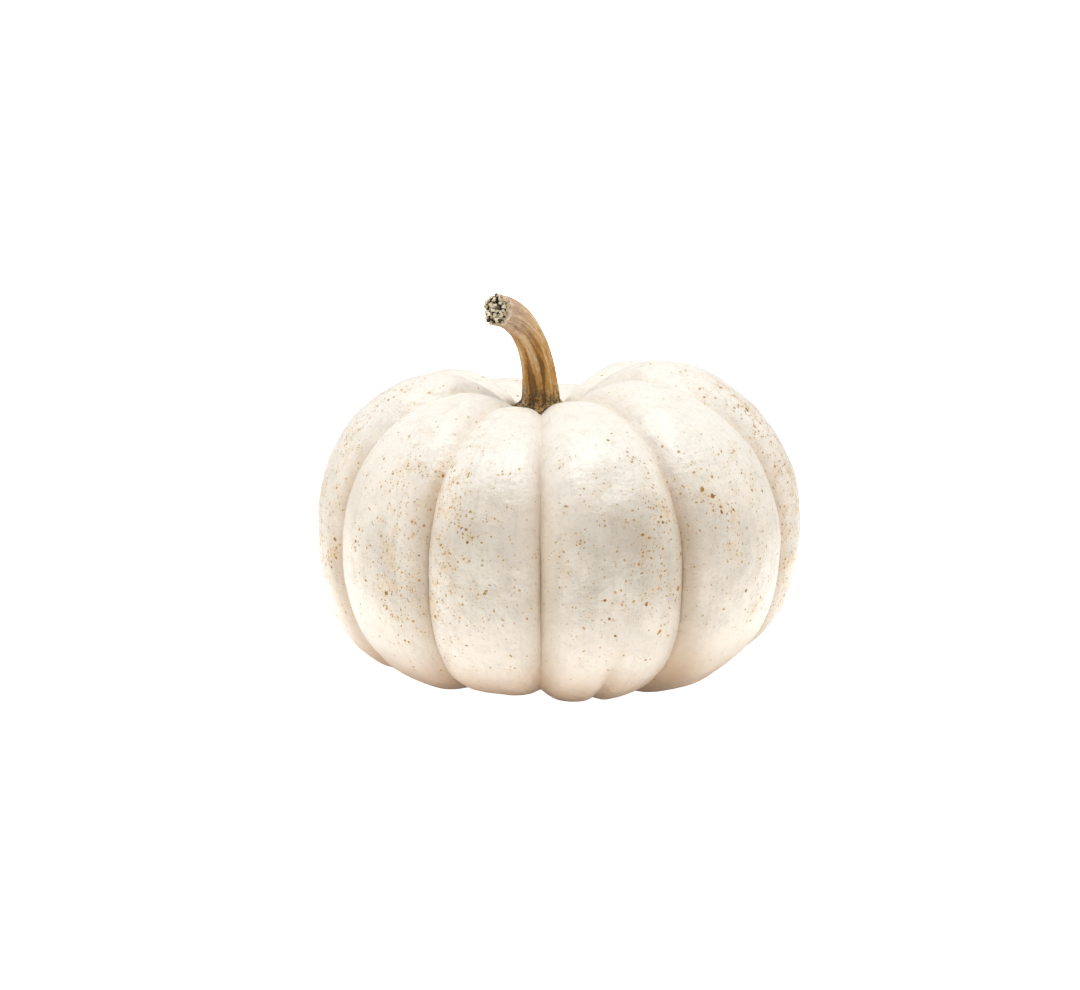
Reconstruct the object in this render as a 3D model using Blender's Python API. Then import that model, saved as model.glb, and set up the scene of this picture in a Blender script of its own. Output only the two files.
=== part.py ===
"""A mini white pumpkin and its woody stem, at real size, in metres with +Z up.

The fruit rests on the floor at z = 0. Its front groove faces -Y, and angles round the stem's axis are
counted from there toward +X. The axis stands a little off the origin, which is under the middle of the
whole object.
"""

import math
from collections import namedtuple

import bmesh
import bpy
from mathutils import Vector

MM = 0.001

# Where the stem's axis stands, and the height of the fruit's widest level above the floor.
AXIS_X = -4.1 * MM
AXIS_Y = 1.2 * MM
WIDEST_LEVEL = 33.9 * MM

# The lobes in order round the axis. Each has its width as an angle, its reach from the axis, and how far
# its crest rises above the widest level and its foot hangs below it.
Lobe = namedtuple("Lobe", "width reach crest foot")
LOBES = (
    Lobe(34.0, 57.0 * MM, 31.6 * MM, 34.0 * MM),
    Lobe(39.0, 57.6 * MM, 34.6 * MM, 34.4 * MM),
    Lobe(36.0, 59.1 * MM, 36.6 * MM, 34.5 * MM),
    Lobe(36.0, 56.0 * MM, 34.0 * MM, 34.4 * MM),
    Lobe(37.0, 54.0 * MM, 26.8 * MM, 34.0 * MM),
    Lobe(36.5, 53.0 * MM, 28.6 * MM, 34.0 * MM),
    Lobe(36.5, 52.0 * MM, 32.4 * MM, 34.4 * MM),
    Lobe(38.0, 51.0 * MM, 34.0 * MM, 35.5 * MM),
    Lobe(37.5, 49.4 * MM, 31.7 * MM, 34.6 * MM),
    Lobe(29.5, 54.0 * MM, 30.0 * MM, 32.8 * MM),
)

# A lobe's upright outline is an oval whose middle lies this share of the reach from the axis. It turns
# from the scar underneath, out round the side and over the crest into the hollow of the stem.
OVAL_MIDDLE = 0.42
OVAL_TURN = math.radians(124.0)
HOLLOW_TURN = math.radians(88.0)
# The oval is an ellipse over the shoulder, and fuller than one below, where its exponent is under 1.
SHOULDER_FULLNESS = 1.0
BELLY_FULLNESS = 0.82

# The grooves: their depth as a share of the oval at the side, in the hollow of the stem and by the scar,
# how late they shoal on the way there, and the exponents of the arch across a lobe, which is flat on its
# back and steep at its edges. It grows rounder toward the stem and toward the scar.
GROOVE_AT_SIDE = 0.125
GROOVE_AT_STEM = 0.06
GROOVE_AT_SCAR = 0.03
SHOALING_ABOVE = 2.0
SHOALING_BELOW = 1.0
ARCH_FLATNESS = 3.0
ARCH_STEEPNESS = 0.6
ARCH_STEEPNESS_AT_STEM = 1.6
ARCH_STEEPNESS_AT_SCAR = 1.3
LOBE_EASE = 2.5

# A shallow crease runs up from underneath along the middle of the first lobe, and fades at its side.
CREASE_LOBE = 0
CREASE_ACROSS = 0.0
CREASE_SPREAD = 0.14
CREASE_DEPTH = 0.036
CREASE_START = math.radians(-14.0)
CREASE_FULL = math.radians(-50.0)

# The flat seat under the stem and the flat blossom scar underneath.
SEAT_RADIUS = 7.4 * MM
SEAT_LEVEL = 59.3 * MM
SCAR_RADIUS = 4.5 * MM
SCAR_LEVEL = 6.0 * MM

# The blank that the lobes are pressed from: a ring of round section with this middle radius and a
# section radius of 1. Only its angles matter, not its size.
BLANK_MIDDLE = 2.0
STEPS_PER_LOBE = 12
RINGS = 34

# The stem: its length, the radii of its shaft, the ribs along it, its lean to the front left, how far it
# has bent over at its cut end, and the flared foot whose toes run into the grooves.
STEM_GAP = 0.3 * MM
STEM_LENGTH = 31.9 * MM
STEM_FOOT_RADIUS = 4.5 * MM
STEM_END_RADIUS = 3.3 * MM
STEM_TAPER = 3.2
STEM_RIBS = 8
STEM_RIB_DEPTH = 0.05
STEM_LEAN = math.radians(-37.5)
STEM_BEND = math.radians(80.0)
STEM_BEND_LATENESS = 1.4
FLARE_HEIGHT = 2.6 * MM
FLARE_REACH = 2.6 * MM
TOE_SHARE = 0.3
STEM_SIDES = 32
STEM_RINGS = 26
STEM_RING_CROWDING = 1.35
BARK_THICKNESS = 0.9 * MM
CUT_HOLLOW = 0.9 * MM

SHARP_EDGE = math.radians(50.0)


def smooth_step(amount):
    """An even ease from 0 to 1 that is level at both ends."""
    held = min(max(amount, 0.0), 1.0)
    return held * held * (3.0 - 2.0 * held)


def mix(first, second, share):
    return first + (second - first) * share


def full_wave(wave, exponent):
    """A sine or cosine swelled toward 1 or -1 by an exponent under 1, which makes an ellipse fuller."""
    return math.copysign(abs(wave) ** exponent, wave)


def blended(lobe_number, across, size):
    """A lobe's own size in its middle, easing to the mean of it and its neighbour's in the groove."""
    own = getattr(LOBES[lobe_number], size)
    neighbour = (lobe_number + (1 if across > 0.0 else -1)) % len(LOBES)
    shared = (own + getattr(LOBES[neighbour], size)) / 2.0
    return mix(own, shared, abs(across) ** LOBE_EASE)


def crease(lobe_number, across, turn):
    """How much the shallow crease takes off the oval at a point of the rind."""
    if lobe_number != CREASE_LOBE:
        return 0.0
    fade = smooth_step((turn - CREASE_START) / (CREASE_FULL - CREASE_START))
    return CREASE_DEPTH * fade * math.exp(-(((across - CREASE_ACROSS) / CREASE_SPREAD) ** 2))


def rind_point(lobe_number, across, turn):
    """The rind's point on a lobe, from -1 to 1 across it and at a turn of its upright oval."""
    start = sum(lobe.width for lobe in LOBES[:lobe_number])
    azimuth = math.radians(start + LOBES[lobe_number].width * (across + 1.0) / 2.0)
    reach = blended(lobe_number, across, "reach")
    rise = blended(lobe_number, across, "crest" if turn > 0.0 else "foot")

    if turn > 0.0:
        groove = mix(GROOVE_AT_SIDE, GROOVE_AT_STEM, (turn / OVAL_TURN) ** SHOALING_ABOVE)
        steepness = mix(ARCH_STEEPNESS, ARCH_STEEPNESS_AT_STEM, turn / OVAL_TURN)
    else:
        groove = mix(GROOVE_AT_SIDE, GROOVE_AT_SCAR, (-turn / OVAL_TURN) ** SHOALING_BELOW)
        steepness = mix(ARCH_STEEPNESS, ARCH_STEEPNESS_AT_SCAR, -turn / OVAL_TURN)
    arch = (1.0 - abs(across) ** ARCH_FLATNESS) ** steepness
    fullness = 1.0 - groove * (1.0 - arch) - crease(lobe_number, across, turn)
    middle = reach * OVAL_MIDDLE
    exponent = SHOULDER_FULLNESS if turn > 0.0 else BELLY_FULLNESS
    radius = middle + (reach - middle) * fullness * full_wave(math.cos(turn), exponent)
    level = WIDEST_LEVEL + rise * fullness * full_wave(math.sin(turn), exponent)

    ring_radius, ring_level = (SEAT_RADIUS, SEAT_LEVEL) if turn > 0.0 else (SCAR_RADIUS, SCAR_LEVEL)
    settle = smooth_step((abs(turn) - HOLLOW_TURN) / (OVAL_TURN - HOLLOW_TURN))
    radius = mix(radius, ring_radius, settle)
    level = mix(level, ring_level, settle)
    return Vector((AXIS_X + radius * math.sin(azimuth), AXIS_Y - radius * math.cos(azimuth), level))


def round_blank():
    """A plain round blank: one upright oval, open toward the axis, spun once round it."""
    blank = bmesh.new()
    outline = []
    for ring in range(RINGS + 1):
        turn = OVAL_TURN * (2.0 * ring / RINGS - 1.0)
        outline.append(blank.verts.new((0.0, -BLANK_MIDDLE - math.cos(turn), math.sin(turn))))
    for lower, upper in zip(outline, outline[1:]):
        blank.edges.new((lower, upper))
    bmesh.ops.spin(
        blank,
        geom=blank.verts[:] + blank.edges[:],
        cent=(0.0, 0.0, 0.0),
        axis=(0.0, 0.0, 1.0),
        angle=math.tau,
        steps=STEPS_PER_LOBE * len(LOBES),
        use_merge=True,
    )
    return blank


def press_lobes(blank):
    """Moves each point of the round blank to its place on the lobed rind."""
    steps = STEPS_PER_LOBE * len(LOBES)
    for vert in blank.verts:
        azimuth = math.atan2(vert.co.x, -vert.co.y) % math.tau
        step = round(azimuth / math.tau * steps) % steps
        lobe_number, step_in_lobe = divmod(step, STEPS_PER_LOBE)
        # The steps crowd toward the grooves, where the rind turns fastest.
        across = math.sin(math.pi * (step_in_lobe / STEPS_PER_LOBE - 0.5))
        turn = math.atan2(vert.co.z, math.hypot(vert.co.x, vert.co.y) - BLANK_MIDDLE)
        vert.co = rind_point(lobe_number, across, turn)


def close_rings(mesh):
    """Closes each open ring with a flat disc of triangles round its middle."""
    open_edges = [edge for edge in mesh.edges if edge.is_boundary]
    discs = bmesh.ops.holes_fill(mesh, edges=open_edges, sides=0)["faces"]
    bmesh.ops.poke(mesh, faces=discs)


def cut_feet(mesh):
    """Trims the lowest lobes level with the floor, so that the fruit rests on small flat spots."""
    cut = bmesh.ops.bisect_plane(
        mesh,
        geom=mesh.verts[:] + mesh.edges[:] + mesh.faces[:],
        plane_co=(0.0, 0.0, 0.0),
        plane_no=(0.0, 0.0, 1.0),
        clear_inner=True,
    )
    rims = [item for item in cut["geom_cut"] if isinstance(item, bmesh.types.BMEdge)]
    bmesh.ops.holes_fill(mesh, edges=rims, sides=0)


def principled(name, colour, roughness, metallic=0.0):
    material = bpy.data.materials.new(name)
    material.use_nodes = True
    surface = material.node_tree.nodes["Principled BSDF"]
    surface.inputs["Base Color"].default_value = (*colour, 1.0)
    surface.inputs["Roughness"].default_value = roughness
    surface.inputs["Metallic"].default_value = metallic
    return material


def add_object(name, mesh, material):
    """Turns a finished bmesh into a smooth-shaded object of its own."""
    bmesh.ops.recalc_face_normals(mesh, faces=mesh.faces[:])
    data = bpy.data.meshes.new(name)
    mesh.to_mesh(data)
    mesh.free()
    data.materials.append(material)
    data.shade_smooth()
    data.set_sharp_from_angle(angle=SHARP_EDGE)
    obj = bpy.data.objects.new(name, data)
    bpy.context.scene.collection.objects.link(obj)
    return obj


def make_fruit():
    rind = round_blank()
    press_lobes(rind)
    close_rings(rind)
    cut_feet(rind)
    return add_object("fruit", rind, principled("cream_rind", (0.83, 0.74, 0.62), 0.38))


def stem_path():
    """The stem's middle line from foot to cut end: for each ring its share, place, direction and side."""
    outward = Vector((math.sin(STEM_LEAN), -math.cos(STEM_LEAN), 0.0))
    upward = Vector((0.0, 0.0, 1.0))
    place = Vector((AXIS_X, AXIS_Y, SEAT_LEVEL + STEM_GAP))
    previous = 0.0
    path = []
    for ring in range(STEM_RINGS + 1):
        # The rings crowd toward the flared foot.
        share = (ring / STEM_RINGS) ** STEM_RING_CROWDING
        middle_bend = STEM_BEND * ((share + previous) / 2.0) ** STEM_BEND_LATENESS
        step = STEM_LENGTH * (share - previous)
        place = place + (upward * math.cos(middle_bend) + outward * math.sin(middle_bend)) * step
        bend = STEM_BEND * share**STEM_BEND_LATENESS
        direction = upward * math.cos(bend) + outward * math.sin(bend)
        path.append((share, place, direction, upward.cross(outward)))
        previous = share
    return path


def stem_radius(share, angle):
    """The shaft's radius in one direction: tapered, ribbed, and flared into toes at the foot."""
    shaft = mix(STEM_END_RADIUS, STEM_FOOT_RADIUS, (1.0 - share) ** STEM_TAPER)
    ribs = math.cos(STEM_RIBS * angle)
    flare = max(1.0 - share * STEM_LENGTH / FLARE_HEIGHT, 0.0) ** 2
    return shaft * (1.0 + STEM_RIB_DEPTH * ribs) + FLARE_REACH * flare * (1.0 + TOE_SHARE * (ribs - 1.0))


def make_stem():
    """A ribbed tube swept along the stem's path, with a flat foot and a dished, cut end."""
    stem = bmesh.new()
    rings = []
    for share, place, direction, side in stem_path():
        front = side.cross(direction)
        corners = []
        for corner in range(STEM_SIDES):
            angle = math.tau * corner / STEM_SIDES
            spread = side * math.cos(angle) + front * math.sin(angle)
            corners.append(stem.verts.new(place + spread * stem_radius(share, angle)))
        rings.append(corners)
    for lower, upper in zip(rings, rings[1:]):
        for corner in range(STEM_SIDES):
            beside = (corner + 1) % STEM_SIDES
            stem.faces.new((lower[corner], lower[beside], upper[beside], upper[corner]))
    foot = stem.faces.new(rings[0][::-1])
    bmesh.ops.poke(stem, faces=[foot])
    end = stem.faces.new(rings[-1])
    bmesh.ops.inset_region(stem, faces=[end], thickness=BARK_THICKNESS, depth=0.0)
    dish = bmesh.ops.poke(stem, faces=[end])["verts"]
    bmesh.ops.translate(stem, verts=dish, vec=-direction * CUT_HOLLOW)
    return add_object("stem", stem, principled("dry_stem", (0.32, 0.2, 0.1), 0.8))


def clear_scene():
    for obj in list(bpy.data.objects):
        bpy.data.objects.remove(obj, do_unlink=True)


def main():
    clear_scene()
    make_fruit()
    make_stem()


main()
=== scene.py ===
import math

import bpy
import numpy as np
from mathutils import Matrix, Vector


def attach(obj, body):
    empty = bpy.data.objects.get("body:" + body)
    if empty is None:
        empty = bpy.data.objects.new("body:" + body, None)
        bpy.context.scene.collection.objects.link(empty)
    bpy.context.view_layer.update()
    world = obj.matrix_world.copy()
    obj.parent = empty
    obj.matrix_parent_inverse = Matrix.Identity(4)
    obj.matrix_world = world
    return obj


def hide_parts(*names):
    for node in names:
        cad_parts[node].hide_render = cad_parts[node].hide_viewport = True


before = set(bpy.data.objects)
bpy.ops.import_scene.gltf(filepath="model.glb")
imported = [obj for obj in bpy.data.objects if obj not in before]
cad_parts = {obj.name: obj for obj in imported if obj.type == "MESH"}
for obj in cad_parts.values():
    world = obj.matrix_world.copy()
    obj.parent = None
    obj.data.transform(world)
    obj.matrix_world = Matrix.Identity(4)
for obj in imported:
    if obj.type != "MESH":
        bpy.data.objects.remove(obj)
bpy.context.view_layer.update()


# The fruit
# The whole pumpkin body, which grew as one piece: ten fat lobes under a waxy cream rind, closed over a
# seed hollow that isn't seen. The stem grows from the flat seat in its crown, and it rests on its lobes.

MM = 0.001
AXIS_X = -4.1 * MM
AXIS_Y = 1.2 * MM
WIDEST_LEVEL = 33.9 * MM

# Going round to the right from the front groove: each lobe's width in degrees, its reach from the stem's
# axis, and how far its crest rises above the widest level and its foot hangs below it, in millimetres.
LOBES = (
    (34.0, 57.0, 31.6, 34.0),
    (39.0, 57.6, 34.6, 34.4),
    (36.0, 59.1, 36.6, 34.5),
    (36.0, 56.0, 34.0, 34.4),
    (37.0, 54.0, 26.8, 34.0),
    (36.5, 53.0, 28.6, 34.0),
    (36.5, 52.0, 32.4, 34.4),
    (38.0, 51.0, 34.0, 35.5),
    (37.5, 49.4, 31.7, 34.6),
    (29.5, 54.0, 30.0, 32.8),
)
LOBE_EASE = 2.5
OVAL_TURN = math.radians(124.0)
OVAL_SIZE = 33.0 * MM
COLUMNS_PER_LOBE = 34
RINGS = 236
DISC_RINGS = 5
# The plain round form that unevenness is read on: how far its oval's middle is out, in oval sizes.
ROUND_MIDDLE = 0.72

# A shallow crease runs up from underneath along the middle of the first lobe, and fades at its side.
CREASE_ACROSS = 0.05
CREASE_SPREAD = 0.14
CREASE_DEPTH = 0.036
CREASE_START = math.radians(-14.0)
CREASE_FULL = math.radians(-50.0)

# Marks on the rind: lobe, place across it from -1 to 1, turn up its oval in degrees, the spread both ways,
# and how strong the mark is. Shallow hollows and creases come first, their depth as a share of the oval.
DENTS = (
    (0, 0.02, -50.0, 0.05, 22.0, 0.010),
    (0, 0.15, 38.0, 0.42, 8.0, 0.022),
    (0, 0.45, 28.0, 0.24, 3.5, 0.022),
    (0, 0.30, 20.0, 0.20, 3.0, 0.013),
    (0, -0.25, 12.0, 0.30, 12.0, 0.010),
    (0, 0.10, -16.0, 0.40, 10.0, 0.006),
    (1, -0.52, 47.0, 0.26, 8.0, 0.026),
    (1, -0.28, 37.0, 0.34, 2.2, 0.021),
    (1, -0.40, 31.5, 0.26, 1.7, 0.017),
    (1, -0.22, 26.5, 0.22, 1.6, 0.012),
    (1, 0.20, 64.0, 0.50, 6.0, 0.010),
    (1, 0.30, 6.0, 0.30, 14.0, 0.006),
    (2, -0.10, 40.0, 0.22, 26.0, 0.014),
    (4, 0.10, 10.0, 0.40, 20.0, 0.010),
    (5, -0.20, -10.0, 0.35, 26.0, 0.009),
    (6, 0.30, 30.0, 0.30, 20.0, 0.012),
    (7, 0.10, 12.0, 0.20, 30.0, 0.012),
    (8, 0.30, 22.0, 0.40, 10.0, 0.009),
    (8, -0.30, 50.0, 0.30, 12.0, 0.008),
    (9, 0.45, 14.0, 0.30, 6.0, 0.012),
    (9, 0.10, 28.0, 0.40, 6.0, 0.008),
    (9, -0.50, 52.0, 0.30, 10.0, 0.010),
)
# Places where the rind has crumpled into small wrinkles across the lobe.
WRINKLES = (
    (0, 0.45, 34.0, 0.38, 14.0, 1.0),
    (0, -0.50, 40.0, 0.20, 14.0, 0.5),
    (1, -0.45, 40.0, 0.40, 16.0, 1.0),
    (2, -0.50, 46.0, 0.35, 14.0, 0.8),
    (4, 0.20, 44.0, 0.50, 14.0, 0.8),
    (6, -0.30, 46.0, 0.50, 14.0, 0.8),
    (8, 0.20, 30.0, 0.45, 12.0, 0.6),
    (9, 0.40, 18.0, 0.40, 12.0, 0.7),
)
# Places where shade is painted into the rind as a greyer cream, and with a negative strength light is
# painted as a cleaner one.
SHADE_AND_LIGHT_MARKS = (
    (0, 0.10, 18.0, 0.60, 16.0, 0.40),
    (0, 0.45, -4.0, 0.40, 16.0, 0.20),
    (0, -0.60, -44.0, 0.40, 12.0, -0.15),
    (0, 0.88, 0.0, 0.20, 26.0, 0.35),
    (0, 0.50, 27.0, 0.26, 5.0, 0.30),
    (1, -0.96, 0.0, 0.09, 24.0, 0.60),
    (1, -0.10, 36.0, 0.60, 10.0, -0.25),
    (1, 0.20, -34.0, 0.60, 10.0, -0.20),
    (9, 0.30, 22.0, 0.60, 14.0, 0.30),
    (9, 0.55, -6.0, 0.35, 20.0, 0.25),
    (8, 0.60, -14.0, 0.40, 20.0, 0.20),
    (8, -0.20, 42.0, 0.60, 10.0, -0.15),
)
# Places beside the grooves and along the crease where shade is painted into the rind in a warm tan.
GROOVE_SHADE_MARKS = (
    (0, 0.05, -46.0, 0.09, 20.0, 0.35),
    (0, -0.93, -52.0, 0.14, 18.0, 0.55),
    (9, 0.93, -52.0, 0.14, 18.0, 0.45),
    (9, -0.93, -46.0, 0.14, 18.0, 0.35),
    (0, -0.92, 0.0, 0.10, 34.0, 0.35),
    (1, -0.94, -2.0, 0.09, 28.0, 0.55),
    (0, -0.20, -54.0, 0.60, 10.0, 0.28),
    (1, -0.80, -50.0, 0.30, 22.0, 1.10),
    (2, -0.95, -10.0, 0.10, 30.0, 0.30),
    (5, 0.90, 0.0, 0.14, 30.0, 0.45),
    (7, 0.90, -20.0, 0.14, 30.0, 0.35),
    (8, 0.94, 34.0, 0.09, 16.0, 0.70),
    (8, 0.90, -6.0, 0.14, 26.0, 0.30),
    (9, 0.95, 0.0, 0.08, 34.0, 0.25),
    (9, 0.97, 44.0, 0.06, 14.0, 0.50),
    (0, 0.95, 40.0, 0.08, 16.0, 0.30),
)
# Drifts of fine flecks, then clusters of larger rust spots.
DRIFTS = (
    (0, 0.52, 16.0, 0.40, 25.0, 0.80),
    (0, -0.55, 6.0, 0.30, 26.0, 0.12),
    (1, -0.80, 26.0, 0.22, 26.0, 0.12),
    (1, -0.10, 14.0, 0.50, 24.0, 0.34),
    (2, -0.45, 44.0, 0.45, 18.0, 0.45),
    (2, -0.45, 2.0, 0.50, 40.0, 1.60),
    (3, 0.20, 20.0, 0.60, 30.0, 0.40),
    (5, -0.10, 10.0, 0.60, 30.0, 0.40),
    (6, 0.20, 40.0, 0.60, 20.0, 0.40),
    (7, 0.35, 6.0, 0.50, 34.0, 1.00),
    (7, -0.10, 62.0, 0.60, 16.0, 0.55),
    (6, 0.40, 66.0, 0.50, 14.0, 0.50),
    (8, 0.55, 8.0, 0.34, 28.0, 1.20),
    (8, -0.10, 10.0, 0.40, 24.0, 0.32),
    (9, -0.62, 8.0, 0.34, 34.0, 1.00),
    (9, 0.10, 12.0, 0.50, 24.0, 0.35),
    (9, -0.50, 44.0, 0.30, 10.0, 0.40),
)
RUST_CLUSTERS = (
    (0, 0.72, 21.0, 0.16, 5.0, 0.75),
    (0, 0.90, 8.0, 0.08, 5.0, 0.75),
    (0, 0.80, -6.0, 0.12, 4.0, 0.60),
    (0, 0.20, 10.0, 0.14, 6.0, 0.40),
    (0, 0.55, -20.0, 0.14, 4.0, 0.45),
    (1, -0.36, 18.0, 0.10, 4.0, 1.20),
    (1, -0.40, 4.0, 0.12, 5.0, 0.55),
    (1, 0.05, -15.0, 0.12, 4.0, 1.10),
    (1, -0.62, 26.0, 0.10, 6.0, 0.60),
    (1, 0.92, -34.0, 0.08, 6.0, 1.20),
    (2, -0.92, -32.0, 0.06, 5.0, 1.00),
    (2, -0.40, 56.0, 0.16, 7.0, 1.00),
    (2, -0.10, 48.0, 0.12, 5.0, 0.60),
    (4, 0.30, 20.0, 0.15, 7.0, 0.70),
    (5, -0.30, 5.0, 0.15, 7.0, 0.70),
    (6, 0.40, 24.0, 0.15, 7.0, 0.60),
    (7, 0.85, -4.0, 0.08, 6.0, 0.90),
    (7, 0.20, 10.0, 0.12, 8.0, 0.60),
    (8, 0.30, -8.0, 0.14, 5.0, 0.80),
    (8, 0.62, -4.0, 0.10, 4.0, 0.80),
    (8, 0.70, 20.0, 0.12, 7.0, 0.50),
    (9, -0.84, -14.0, 0.10, 4.0, 1.20),
    (9, -0.84, 0.0, 0.08, 5.0, 1.00),
    (9, -0.62, -4.0, 0.10, 5.0, 0.60),
    (9, -0.50, 38.0, 0.14, 5.0, 1.00),
    (9, -0.80, 46.0, 0.12, 6.0, 0.70),
    (9, -0.30, 20.0, 0.12, 6.0, 0.45),
)


def feed(tree, socket, value):
    """Gives a socket a link, where the value is a field or a socket, or else a plain value."""
    if isinstance(value, Field):
        value = value.socket
    if isinstance(value, bpy.types.NodeSocket):
        tree.links.new(value, socket)
    else:
        socket.default_value = value


def add_node(tree, kind, settings=(), feeds=()):
    """A new node with its properties set and its inputs fed by name or number."""
    node = tree.nodes.new(kind)
    for name, value in dict(settings).items():
        setattr(node, name, value)
    for name, value in dict(feeds).items():
        feed(tree, node.inputs[name], value)
    return node


class Field:
    """A number that varies over a surface, with the sums that join one such node to the next."""

    def __init__(self, tree, socket):
        self.tree = tree
        self.socket = socket

    def sum(self, operation, *values):
        """One sum, worked out from numbers and fields."""
        node = add_node(self.tree, "ShaderNodeMath", {"operation": operation}, dict(enumerate(values)))
        return Field(self.tree, node.outputs[0])

    def __add__(self, other):
        return self.sum("ADD", self, other)

    def __radd__(self, other):
        return self.sum("ADD", other, self)

    def __sub__(self, other):
        return self.sum("SUBTRACT", self, other)

    def __rsub__(self, other):
        return self.sum("SUBTRACT", other, self)

    def __mul__(self, other):
        return self.sum("MULTIPLY", self, other)

    def __rmul__(self, other):
        return self.sum("MULTIPLY", other, self)

    def __truediv__(self, other):
        return self.sum("DIVIDE", self, other)

    def __rtruediv__(self, other):
        return self.sum("DIVIDE", other, self)

    def __pow__(self, other):
        return self.sum("POWER", self, other)

    def of(self, operation):
        """A one-sided sum of this field, such as its sine or its absolute size."""
        return self.sum(operation, self)

    def least(self, other):
        """The larger of this field and another."""
        return self.sum("MAXIMUM", self, other)

    def ease(self, low, high):
        """An even rise from 0 at the low value to 1 at the high one, level at both ends."""
        settings = {"interpolation_type": "SMOOTHSTEP"}
        if low > high:
            return 1.0 - self.ease(high, low)
        node = add_node(self.tree, "ShaderNodeMapRange", settings, {"Value": self, 1: low, 2: high})
        return Field(self.tree, node.outputs["Result"])


def vector(tree, x, y, z):
    """Three numbers or fields joined into one vector."""
    return add_node(tree, "ShaderNodeCombineXYZ", feeds={"X": x, "Y": y, "Z": z}).outputs[0]


def noise(tree, place, scale, detail=2.0, roughness=0.5):
    """Soft noise from 0 to 1 round a half, read at a place."""
    feeds = {"Vector": place, "Scale": scale, "Detail": detail, "Roughness": roughness}
    node = add_node(tree, "ShaderNodeTexNoise", feeds=feeds)
    return Field(tree, node.outputs[0])


def geometry_tree(name, numbers):
    """A Geometry Nodes tree fed with a mesh, a material and named numbers, and those numbers as fields."""
    tree = bpy.data.node_groups.new(name, "GeometryNodeTree")
    tree.interface.new_socket(name="Geometry", in_out="INPUT", socket_type="NodeSocketGeometry")
    tree.interface.new_socket(name="Material", in_out="INPUT", socket_type="NodeSocketMaterial")
    for number in numbers:
        tree.interface.new_socket(name=number, in_out="INPUT", socket_type="NodeSocketFloat")
    tree.interface.new_socket(name="Geometry", in_out="OUTPUT", socket_type="NodeSocketGeometry")
    given = tree.nodes.new("NodeGroupInput")
    fields = {number: Field(tree, given.outputs[number]) for number in numbers}
    return tree, given, fields


def finish_tree(tree, given, geometry):
    """Ends a tree in smooth shading, real geometry and its material."""
    smooth = add_node(tree, "GeometryNodeSetShadeSmooth", feeds={"Geometry": geometry})
    real = add_node(tree, "GeometryNodeRealizeInstances", feeds={"Geometry": smooth.outputs[0]})
    dressed = add_node(tree, "GeometryNodeSetMaterial", feeds={"Geometry": real.outputs[0]})
    tree.links.new(given.outputs["Material"], dressed.inputs["Material"])
    tree.links.new(dressed.outputs[0], tree.nodes.new("NodeGroupOutput").inputs[0])


def grown(name, mesh, tree, material, numbers):
    """Runs a tree on a mesh and keeps the result as a plain mesh in an object of that name."""
    seed = bpy.data.objects.new(name + "_seed", mesh)
    bpy.context.scene.collection.objects.link(seed)
    modifier = seed.modifiers.new(name, "NODES")
    modifier.node_group = tree
    sockets = {item.name: item.identifier for item in tree.interface.items_tree if item.in_out == "INPUT"}
    modifier[sockets["Material"]] = material
    for number, value in numbers.items():
        modifier[sockets[number]] = value
    graph = bpy.context.evaluated_depsgraph_get()
    result = bpy.data.meshes.new_from_object(seed.evaluated_get(graph))
    result.name = name
    bpy.data.objects.remove(seed)
    piece = bpy.data.objects.new(name, result)
    bpy.context.scene.collection.objects.link(piece)
    return piece


def named(tree, name, kind="FLOAT"):
    """A number or a vector that the mesh carries at each point."""
    settings = {"data_type": kind}
    return add_node(tree, "GeometryNodeInputNamedAttribute", settings, {"Name": name}).outputs[0]


def grid_mesh(name, columns, rings):
    """A closed tube of square faces, ring by ring from its foot, with a point in the middle of each end."""
    faces = []
    for ring in range(rings - 1):
        for column in range(columns):
            beside = (column + 1) % columns
            low = ring * columns
            high = low + columns
            faces.append((low + column, low + beside, high + beside, high + column))
    foot = rings * columns
    top = foot + 1
    last = (rings - 1) * columns
    for column in range(columns):
        beside = (column + 1) % columns
        faces.append((foot, beside, column))
        faces.append((top, last + column, last + beside))
    mesh = bpy.data.meshes.new(name)
    # The places are only held apart here: the tree puts every point where it belongs.
    places = np.zeros((foot + 2, 3))
    places[:, 0] = np.arange(foot + 2)
    mesh.from_pydata(places.tolist(), [], faces)
    return mesh


def carry(mesh, name, values, kind="FLOAT"):
    """Lays one value or vector for each point on a mesh, under a name."""
    layer = mesh.attributes.new(name, kind, "POINT")
    field = "value" if kind == "FLOAT" else "vector"
    layer.data.foreach_set(field, np.ascontiguousarray(values, np.float32).ravel())


def over_rings(columns, rings):
    """Spreads values for each column and each ring over all the points of a grid mesh."""
    return np.append(np.add.outer(rings, columns).ravel(), [rings[0], rings[-1]])


def lobed_columns():
    """For each column round the fruit: its lobe, its place across it, its azimuth and its lobe's sizes."""
    columns = []
    start = 0.0
    for number, lobe in enumerate(LOBES):
        for step in range(COLUMNS_PER_LOBE):
            # The columns crowd toward the grooves, where the rind turns fastest.
            across = math.sin(math.pi * (step / COLUMNS_PER_LOBE - 0.5))
            azimuth = math.radians(start + lobe[0] * (across + 1.0) / 2.0)
            neighbour = LOBES[(number + (1 if across > 0.0 else -1)) % len(LOBES)]
            share = abs(across) ** LOBE_EASE
            pairs = zip(lobe[1:], neighbour[1:])
            sizes = [(own + (other - own) / 2.0 * share) * MM for own, other in pairs]
            columns.append((number, across, azimuth, *sizes))
        start += lobe[0]
    return np.array(columns)


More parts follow.
